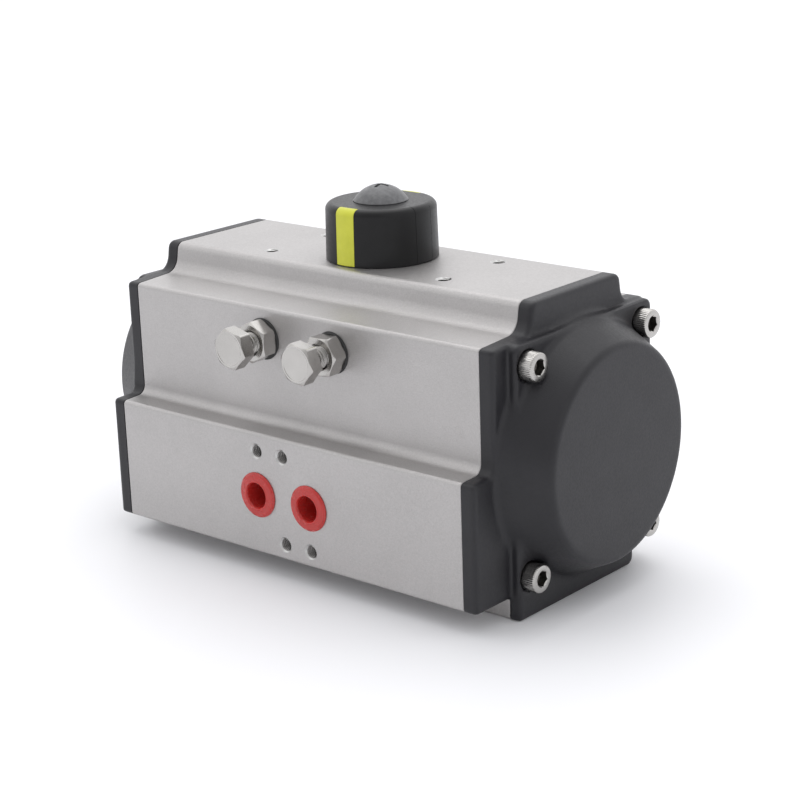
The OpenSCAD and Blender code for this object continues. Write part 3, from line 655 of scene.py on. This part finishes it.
def cap_distance(x, y, z, flange_2d, block_2d):
    """Distance to the right end cap's outer skin and hollow, in millimetres."""
    flange = meet(flange_2d, x - FLANGE_END, FLANGE_EDGE)
    block = meet(block_2d + np.maximum(x - FLANGE_END, 0) * BLOCK_DRAFT, x - BLOCK_END, BLOCK_EDGE)
    base = blend_union(flange, block, BLOCK_FOOT)
    radius = np.hypot(y, z - BORE_Z)
    flank = (radius - DOME_R + (x - BLOCK_END) * DOME_DRAFT) / math.hypot(1, DOME_DRAFT)
    dome = meet(flank, x - CAP_END, DOME_EDGE)
    shape = np.maximum(blend_union(base, dome, DOME_FOOT), np.minimum(flange_2d, block_2d))
    notch = np.maximum(np.maximum(x - PAD_END - PAD_GAP, z - PAD_H - PAD_GAP),
                       np.maximum(PAD_FRONT - PAD_GAP - y, y - PAD_BACK - PAD_GAP))
    shape = np.maximum(shape, -notch)
    for sy in (-1, 1):
        for sz in (-1, 1):
            away = np.hypot(y - sy * SCREW_Y, z - BORE_Z - sz * SCREW_Z)
            shape = meet(shape, -np.maximum(away - SPOTFACE_R, SPOTFACE_X - x), SPOTFACE_EDGE)
            shape = np.maximum(shape, CAP_SCREW_HOLE_R - away)
    hollow = np.maximum(radius - BORE_R + CAP_WALL + (x - BODY_END) * HOLLOW_DRAFT, x - CAP_END + CAP_WALL)
    return np.maximum(shape, -hollow)


def surface_net(field, low, cell):
    """Quads round the zero level of a distance grid, one point in each cell that it crosses."""
    shape = np.array(field.shape) - 1
    total = np.zeros((*shape, 3))
    hits = np.zeros(shape)
    edges = []
    for axis in range(3):
        near = np.take(field, range(field.shape[axis] - 1), axis)
        far = np.take(field, range(1, field.shape[axis]), axis)
        crossed = (near < 0) != (far < 0)
        edges.append((crossed, near < 0))
        grid = np.stack(np.meshgrid(*[np.arange(n) for n in near.shape], indexing="ij"), -1).astype(float)
        step = np.where(crossed, near / np.where(crossed, near - far, 1), 0)
        grid[..., axis] += step
        others = [a for a in range(3) if a != axis]
        for da in (0, 1):
            for db in (0, 1):
                pick = [slice(None)] * 3
                pick[others[0]] = slice(da, da + shape[others[0]])
                pick[others[1]] = slice(db, db + shape[others[1]])
                mask = crossed[tuple(pick)]
                total += grid[tuple(pick)] * mask[..., None]
                hits += mask
    used = hits > 0
    index = np.full(shape, -1)
    index[used] = np.arange(used.sum())
    points = total[used] / hits[used][:, None] * cell + low
    faces = []
    for axis in range(3):
        crossed, inward = edges[axis]
        b, c = (axis + 1) % 3, (axis + 2) % 3
        core = [slice(None)] * 3
        core[b] = slice(1, field.shape[b] - 1)
        core[c] = slice(1, field.shape[c] - 1)
        where = np.argwhere(crossed[tuple(core)])
        where[:, b] += 1
        where[:, c] += 1
        sign = inward[tuple(where.T)]
        quad = []
        for db, dc in ((-1, -1), (0, -1), (0, 0), (-1, 0)):
            cell_at = where.copy()
            cell_at[:, b] += db
            cell_at[:, c] += dc
            quad.append(index[tuple(cell_at.T)])
        quad = np.stack(quad, 1)
        quad[~sign] = quad[~sign][:, ::-1]
        faces.append(quad)
    return points, np.concatenate(faces)


def make_cap_casting():
    """The right end cap: blended outer skin, cut flat at the joint, with its spigot."""
    cell = 0.8
    low = np.array([BODY_END - 1.3, VALVE_FACE - 1.1, -1.1])        # a little more room than the cap needs
    high = np.array([CAP_END + 1.1, DOME_R + 1.2, BODY_TOP + 1.1])
    xs, ys, zs = [np.arange(a, b, cell) for a, b in zip(low, high)]
    outline, block = body_outline(6), block_outline()
    y2, z2 = np.meshgrid(ys, zs, indexing="ij")
    field = cap_distance(xs[:, None, None], y2[None], z2[None], outline_distance(outline, y2, z2)[None],
                         outline_distance(block, y2, z2)[None])
    points, faces = surface_net(field, low, cell)

    def exact(p):
        return cap_distance(p[:, 0], p[:, 1], p[:, 2], outline_distance(outline, p[:, 1], p[:, 2]),
                            outline_distance(block, p[:, 1], p[:, 2]))

    tiny, least_slope, longest = 0.02, 0.25, 0.3
    for _ in range(3):          # each round moves the points onto the true surface
        here = exact(points)
        slope = np.stack([(exact(points + tiny * e) - here) / tiny for e in np.eye(3)], 1)
        size = np.maximum((slope ** 2).sum(1), least_slope)
        points = points - np.clip(here / size, -longest, longest)[:, None] * slope
    points = np.clip(points, (-np.inf, VALVE_FACE, 0), (CAP_END, DOME_R, BODY_TOP))

    cap = add_mesh("end_cap_casting", points, faces, coating)
    bm = bmesh.new()
    bm.from_mesh(cap.data)
    bmesh.ops.bisect_plane(bm, geom=bm.verts[:] + bm.edges[:] + bm.faces[:], dist=1e-7,
                           plane_co=(BODY_END, 0, 0), plane_no=(1, 0, 0), clear_inner=True)
    rim = [e for e in bm.edges if len(e.link_faces) == 1]
    bmesh.ops.triangle_fill(bm, edges=rim, use_beauty=True, use_dissolve=False)
    bmesh.ops.recalc_face_normals(bm, faces=bm.faces)
    bm.to_mesh(cap.data)
    bm.free()
    inner, groove = 31, 33.4
    spigot = [(inner, 0.5), (inner, -4.5), (SPIGOT_R - 0.45, -4.5), (SPIGOT_R, -4.1), (SPIGOT_R, -3.55),
              (groove, -3.55), (groove, -0.85), (SPIGOT_R, -0.85), (SPIGOT_R, 0), (SPIGOT_R - 0.85, 0.5)]
    weld(cap, revolve("spigot", spigot, coating, (1, 0, 0), (BODY_END, 0, BORE_Z)))
    return cap


def make_end_caps():
    """Both castings; the left one is the right one mirrored."""
    right = make_cap_casting()
    left = mirrored(right, "end_cap_left_casting")
    for obj, side in ((right, "right"), (left, "left")):
        soften(obj, crease=40)
        finish_piece(obj, f"end_cap_{side}_casting", "housing", "coated_cap", f"end_cap_{side}")


# ---------- screws ----------

def hexagon(across, turn=0.0):
    """Corners of a hexagon from its width across flats and its turn in degrees."""
    corner = across / 2 / math.cos(math.pi / 6)
    angles = [math.radians(turn + 60 * k) for k in range(6)]
    return np.array([(corner * math.cos(a), corner * math.sin(a)) for a in angles])


def make_socket_screw(at):
    """Socket head cap screw along +X with a straight-knurled head; at is its seat's centre."""
    head_r, head_h, chamfer, ridges = 5.0, 6.0, 0.55, 44
    socket_af, socket_depth, in_body = 5, 3, 16
    steps = ridges * 6
    angles = np.arange(steps) * 2 * math.pi / steps
    knurl = 0.13 * np.abs((np.arange(steps) % 6) / 3 - 1)      # depth of each ridge's flanks
    rings = []
    for radius, height, depth in ((head_r - 0.35, 0, 0), (head_r, 0.35, 1), (head_r, head_h - chamfer, 1),
                                  (head_r - chamfer * 0.55, head_h - 0.12, 0.1),
                                  (head_r - chamfer * 0.9, head_h, 0), (3.4, head_h, 0)):
        r = radius - knurl * depth
        rings.append(np.column_stack([r * np.cos(angles), r * np.sin(angles), np.full(steps, height)]))
    points, faces = ring_grid(rings)
    screw = face_outwards(add_mesh("socket_screw", points, faces, stainless))
    hexagon_cutter = prism(hexagon(socket_af, 12), head_h - socket_depth, head_h + 1)
    # The socket's walls take the near-black painted shade.
    hexagon_cutter.data.materials[0] = socket
    drill = rod(2.5, head_h - socket_depth - 0.8, 0.9, steps=32, end_radius=2.5)
    mouth = rod(2.55, head_h - 0.28, 0.4, steps=48, end_radius=3.05)
    combine(screw, [hexagon_cutter, drill, mouth])
    shank = SPOTFACE_X - BODY_END + in_body
    # The shank's thread takes the darker stainless with the grooves' painted shade.
    weld(screw, thread_rod(2.98, 1.0, 0.55, -shank, shank + 0.05, (0, 0, 1), (0, 0, 0), 32, thread_shade))
    screw.data.transform(Matrix.Translation(Vector(at)) @ Matrix.Rotation(math.pi / 2, 4, "Y"))
    return screw


def make_cap_screws():
    """Four screws in each end cap; the left ones are the right ones mirrored."""
    group = None
    for sy in (-1, 1):
        for sz in (-1, 1):
            screw = make_socket_screw((SPOTFACE_X, sy * SCREW_Y, BORE_Z + sz * SCREW_Z))
            group = weld(group, screw) if group else screw
    left = mirrored(group, "cap_screws_left_set")
    for obj, side in ((group, "right"), (left, "left")):
        soften(obj, crease=35, wavy=thread_shade)
        finish_piece(obj, f"cap_screws_{side}_set", "housing", "stainless", f"cap_screws_{side}")


HEX_AF = 13.0
HEX_FACE_R = HEX_AF / 2 - 0.2
HEX_SLOPE = 0.6             # fall of the corner chamfer's cone
HEX_BREAK = 0.05            # broken edge between the chamfer and the flats
HEX_STEPS = 144
STOP_HOLE_R = 4.1           # bore of the lock nuts and their washers


def hex_reach(angle, turn):
    """Radius of the hexagon in a direction, with its corners just broken."""
    off = (angle - math.radians(turn)) % (math.pi / 3) - math.pi / 6
    return min(HEX_AF / 2 / math.cos(off), HEX_AF / 2 / math.cos(math.pi / 6) - 0.1)


def make_hex_head(height, turn, dish):
    """Screw head: flat below, a turned chamfer and a shallow dish in its face."""
    def profile(angle):
        reach = hex_reach(angle, turn)
        fall = max(reach - HEX_FACE_R, 0) * HEX_SLOPE
        return [(reach - 0.15, 0), (reach, 0.15), (reach, height - fall - HEX_BREAK),
                (reach - HEX_BREAK, height - fall), (HEX_FACE_R, height),
                (HEX_FACE_R - 0.55, height), (HEX_FACE_R - 0.8, height - dish)]
    return turned("hex_head", profile, stainless, HEX_STEPS)


def make_hex_nut(height, turn):
    """Nut chamfered on both faces, with a countersunk thread."""
    def profile(angle):
        reach = hex_reach(angle, turn)
        fall = max(reach - HEX_FACE_R, 0) * HEX_SLOPE
        return [(4.6, 0), (HEX_FACE_R, 0), (reach - HEX_BREAK, fall), (reach, fall + HEX_BREAK),
                (reach, height - fall - HEX_BREAK), (reach - HEX_BREAK, height - fall), (HEX_FACE_R, height),
                (4.75, height), (STOP_HOLE_R, height - 0.65), (STOP_HOLE_R, 0.5)]
    return turned("hex_nut", profile, stainless, HEX_STEPS, open_middle=True)


def stand_forward(obj, at):
    """Moves an object drawn about +Z so that +Z points forwards, along -Y, with its foot at a point."""
    obj.data.transform(Matrix.Translation(Vector(at)) @ Matrix.Rotation(math.pi / 2, 4, "X"))
    return obj


def make_stop_screw(side, name, turn):
    """One travel-stop screw: its head, and its threaded shank as a second shell."""
    node = f"stop_screw_{name}"
    low, high = node_box(node)
    head_h = 5.3
    head = make_hex_head(head_h, turn, 0.12)
    shank = high[1] - low[1] - head_h
    # The shank's thread takes the darker stainless with the grooves' painted shade.
    weld(head, thread_rod(3.95, 1.25, 0.62, -shank, shank + 0.1, (0, 0, 1), (0, 0, 0), 48, thread_shade, 12))
    stand_forward(head, (side * STOP_X, low[1] + head_h, STOP_Z))
    soften(head, crease=24, wavy=thread_shade)
    finish_piece(head, f"{node}_bolt", f"{name}_stop", "stainless", node)


def make_lock_nut(side, name, turn):
    """The nut that locks a stop screw, standing on its washer."""
    node = f"lock_nut_{name}"
    low, high = node_box(node)
    height = high[1] - low[1]
    nut = make_hex_nut(height, turn)
    stand_forward(nut, (side * STOP_X, high[1], STOP_Z))
    soften(nut, crease=24)
    finish_piece(nut, f"{node}_hex", "housing", "stainless", node)


def make_stop_washer(side, name):
    """Thin black sealing washer, narrower at the nut than at the wall."""
    node = f"stop_washer_{name}"
    low, high = node_box(node)
    height = high[1] - low[1]
    edge, foot_r, top_r = 0.12, 7.4, 6.9
    outline = [(STOP_HOLE_R, 0), (foot_r - edge, 0), (foot_r, edge), (foot_r, 0.3 * height),
               (top_r, height - edge), (top_r - edge, height), (STOP_HOLE_R, height)]
    washer = revolve(f"{node}_ring", outline, rubber, steps=72)
    stand_forward(washer, (side * STOP_X, high[1], STOP_Z))
    soften(washer)
    finish_piece(washer, f"{node}_ring", "housing", "seal_rubber", node)


def make_stop_hardware():
    """Screw, nut and washer on each side, each turned as in the photograph."""
    for side, name, head_turn, nut_turn in ((-1, "left", 45, 30), (1, "right", 50, 2)):
        make_stop_screw(side, name, head_turn)
        make_lock_nut(side, name, nut_turn)
        make_stop_washer(side, name)


# ---------- port plugs ----------

def make_port_plugs():
    """Soft red cup in each port, with a thin sloping flange and a raised lip."""
    for side, name in ((-1, "a"), (1, "b")):
        node = f"port_plug_{name}"
        low, high = node_box(node)
        proud = VALVE_FACE - low[1]
        flange_r = (high[0] - low[0]) / 2
        outer = rounded([(0, -9, 0), (5.8, -9, 1.0), (5.8, 0.02, 0), (flange_r - 0.15, 0.02, 0.1),
                         (flange_r, 0.2 * proud, 0.2), (flange_r - 0.9, 0.72 * proud, 0.5),
                         (5.35, 0.88 * proud, 0.15), (5.2, proud, 0.12), (4.85, proud, 0.15),
                         (4.5, proud - 0.7, 0.3), (4.3, -7.6, 1.0), (0, -7.8, 0)], 6)
        plug = revolve(f"{node}_cup", outer, red_plastic, steps=80)
        stand_forward(plug, (side * PORT_X, VALVE_FACE, PORT_Z))
        soften(plug, crease=50)
        finish_piece(plug, f"{node}_cup", f"plug_{name}", "red_plastic", node)


# ---------- position indicator ----------

INDICATOR_R, INDICATOR_TOP_R, INDICATOR_EDGE = 20.0, 19.6, 2.5
FLAGS = (("indicator_flag_front", -90, True), ("indicator_flag_back", 90, True),
         ("indicator_blank_left", 180, False), ("indicator_blank_right", 0, False))
FLAG_W = 8.0
FLAG_REACH = 3.5            # how far a flag runs in over the top
FLAG_DEPTH = 1.1            # how far it is let into the drum


def indicator_form(name, depth, material):
    """The solid shape of the indicator, made smaller all over by depth."""
    foot, top = indicator_low[2] - (1 if depth else 0), indicator_high[2] - depth
    outline = rounded([(0, foot, 0), (INDICATOR_R - depth, foot, 0),
                       (INDICATOR_TOP_R - depth, top, INDICATOR_EDGE - depth / 2), (0, top, 0)], 12)
    return revolve(name, outline, material, steps=128, phase=0.5 if depth else 0)


def flag_box(angle, gap):
    """The block of space that a flag takes up in the rim, with a gap round it."""
    box = slab((INDICATOR_R - FLAG_REACH - gap, -FLAG_W / 2 - gap, indicator_low[2] - 1),
               (INDICATOR_R + 2, FLAG_W / 2 + gap, indicator_high[2] + 1))
    box.data.transform(Matrix.Rotation(math.radians(angle), 4, "Z"))
    return box


def make_indicator():
    """Hollow drum with a pocket at each flag or blank, and the inlays that fill them."""
    gap, wall = 0.11, 2.7
    cap = indicator_form("indicator_drum", 0, black_plastic)
    hollow = indicator_form("hollow", wall, cutter_material)
    hub = rod(10.5, 110, 20)        # left standing round the pinion's stub
    combine(hollow, [hub])
    for _, angle, _ in FLAGS:
        skin = indicator_form("skin", 0, cutter_material)
        combine(skin, [indicator_form("core", FLAG_DEPTH + gap, cutter_material)])
        combine(skin, [flag_box(angle, gap)], "INTERSECT")
        skin.data.transform(Matrix.Diagonal((1.004, 1.004, 1.0015, 1)))    # clear of the drum's own skin
        combine(cap, [skin])
    stub_hole = rod(8.05, 100, 22.7, steps=64)
    screw_hole = rod(3.2, 120, 10, steps=40)
    combine(cap, [hollow, stub_hole, screw_hole])
    soften(cap, crease=35)
    finish_piece(cap, "indicator_drum", "drive", "black_plastic", "indicator_cap")
    for node, angle, coloured in FLAGS:
        material = yellow_plastic if coloured else black_plastic
        flag = indicator_form(node, 0, material)
        combine(flag, [indicator_form("core", FLAG_DEPTH, cutter_material)])
        combine(flag, [flag_box(angle, 0)], "INTERSECT")
        flag.data.materials.clear()
        flag.data.materials.append(material)
        soften(flag, bevel=0.08, crease=35)
        finish_piece(flag, f"{node}_inlay", "drive", "yellow_plastic" if coloured else "black_plastic", node)


def make_indicator_screw():
    """Domed screw with a cross slot that holds the drum on the pinion's stub."""
    top = node_box("indicator_screw")[1][2]
    foot = indicator_high[2]
    height, radius = top - foot, 9.8
    ball = (radius ** 2 + height ** 2) / (2 * height)
    reach = math.asin(radius / ball)
    dome = [(ball * math.sin(reach * k / 16), top - ball + ball * math.cos(reach * k / 16)) for k in range(16)]
    shank_r, shank = 2.9, 13.5
    outline = dome + [(radius - 0.05, foot + 0.22), (radius - 0.15, foot), (shank_r, foot),
                      (shank_r, foot - shank + 0.3), (0, foot - shank)]
    screw = revolve("indicator_screw_dome", outline, screw_plastic, steps=96)
    slots = []
    slot_reach, slot_half, slot_depth = 3.4, 0.65, 2.0
    for angle in (10, 100):
        slot_cutter = slab((-slot_reach, -slot_half, top - slot_depth), (slot_reach, slot_half, top + 2))
        slot_cutter.data.transform(Matrix.Rotation(math.radians(angle), 4, "Z"))
        slots.append(slot_cutter)
    combine(screw, slots)
    soften(screw, bevel=0.1, crease=30)
    finish_piece(screw, "indicator_screw_dome", "drive", "screw_plastic", "indicator_screw")


# ---------- camera, floor and light ----------

def make_camera():
    """Camera at the photograph's angle: turned about the object, raised, and slightly rolled."""
    around, above, roll = (math.radians(degrees) for degrees in (41.04, 17.07, -1.96))
    target = Vector((36.97, -35.86, 67.24)) * MM
    distance = 689.4 * MM
    back = Vector((math.sin(around) * math.cos(above), -math.cos(around) * math.cos(above), math.sin(above)))
    right = Vector((math.cos(around), math.sin(around), 0))
    up = back.cross(right)
    side = math.cos(roll) * right + math.sin(roll) * up
    top = -math.sin(roll) * right + math.cos(roll) * up
    data = bpy.data.cameras.new("camera")
    data.sensor_width = 36
    data.lens = 92.52
    camera = bpy.data.objects.new("camera", data)
    turn = Matrix((side, top, back)).transposed().to_4x4()
    camera.matrix_world = Matrix.Translation(target + distance * back) @ turn
    bpy.context.scene.collection.objects.link(camera)
    bpy.context.scene.camera = camera


def area_light(name, at, size, power, aim=(0, 0, 0.05)):
    """A soft rectangular lamp in metres and watts, turned towards the object."""
    data = bpy.data.lights.new(name, "AREA")
    data.shape = "RECTANGLE"
    data.size, data.size_y = size
    data.energy = power
    light = bpy.data.objects.new(name, data)
    light.location = at
    light.rotation_euler = (Vector(aim) - Vector(at)).to_track_quat("-Z", "Y").to_euler()
    bpy.context.scene.collection.objects.link(light)


def make_world():
    """Soft studio surround: brighter behind and above the object, dimmer towards its front."""
    world = bpy.data.worlds.new("studio")
    world.use_nodes = True
    tree = world.node_tree
    direction = tree.nodes.new("ShaderNodeTexCoord")
    towards = tree.nodes.new("ShaderNodeVectorMath")
    towards.operation = "DOT_PRODUCT"
    towards.inputs[1].default_value = (-0.35, 0.70, 0.62)
    glow = tree.nodes.new("ShaderNodeMapRange")
    glow.interpolation_type = "SMOOTHSTEP"
    glow.inputs["From Min"].default_value = -0.5
    glow.inputs["From Max"].default_value = 0.9
    glow.inputs["To Min"].default_value = 0.70
    glow.inputs["To Max"].default_value = 1.28
    tree.links.new(direction.outputs["Generated"], towards.inputs[0])
    tree.links.new(towards.outputs["Value"], glow.inputs["Value"])
    background = tree.nodes["Background"]
    background.inputs["Color"].default_value = (0.985, 0.985, 1.0, 1)
    tree.links.new(glow.outputs["Result"], background.inputs["Strength"])
    bpy.context.scene.world = world


def make_stage():
    """Pale floor far wider than any view of the object, the surround and three soft lamps."""
    material, _, shader = new_material("floor")
    shader.inputs["Base Color"].default_value = (0.92, 0.922, 0.94, 1)
    shader.inputs["Roughness"].default_value = 0.55
    reach, drop = 40.0, -0.00005
    corners = [(-reach, -reach, drop), (reach, -reach, drop), (reach, reach, drop), (-reach, reach, drop)]
    add_mesh("floor", corners, [(0, 1, 2, 3)], material)
    make_world()
    area_light("overhead", (-0.25, 0.25, 1.2), (1.0, 1.0), 3.2)
    area_light("right", (1.2, -0.5, 0.6), (0.7, 0.7), 0.6)
    area_light("front", (-0.8, -1.1, 0.9), (0.9, 0.9), 1.0)
    bpy.context.scene.view_settings.view_transform = "Standard"


make_camera()
make_stage()
dress_cad_nodes()
make_body()
make_end_caps()
make_cap_screws()
make_stop_hardware()
make_port_plugs()
make_indicator()
make_indicator_screw()
bpy.data.materials.remove(cutter_material)
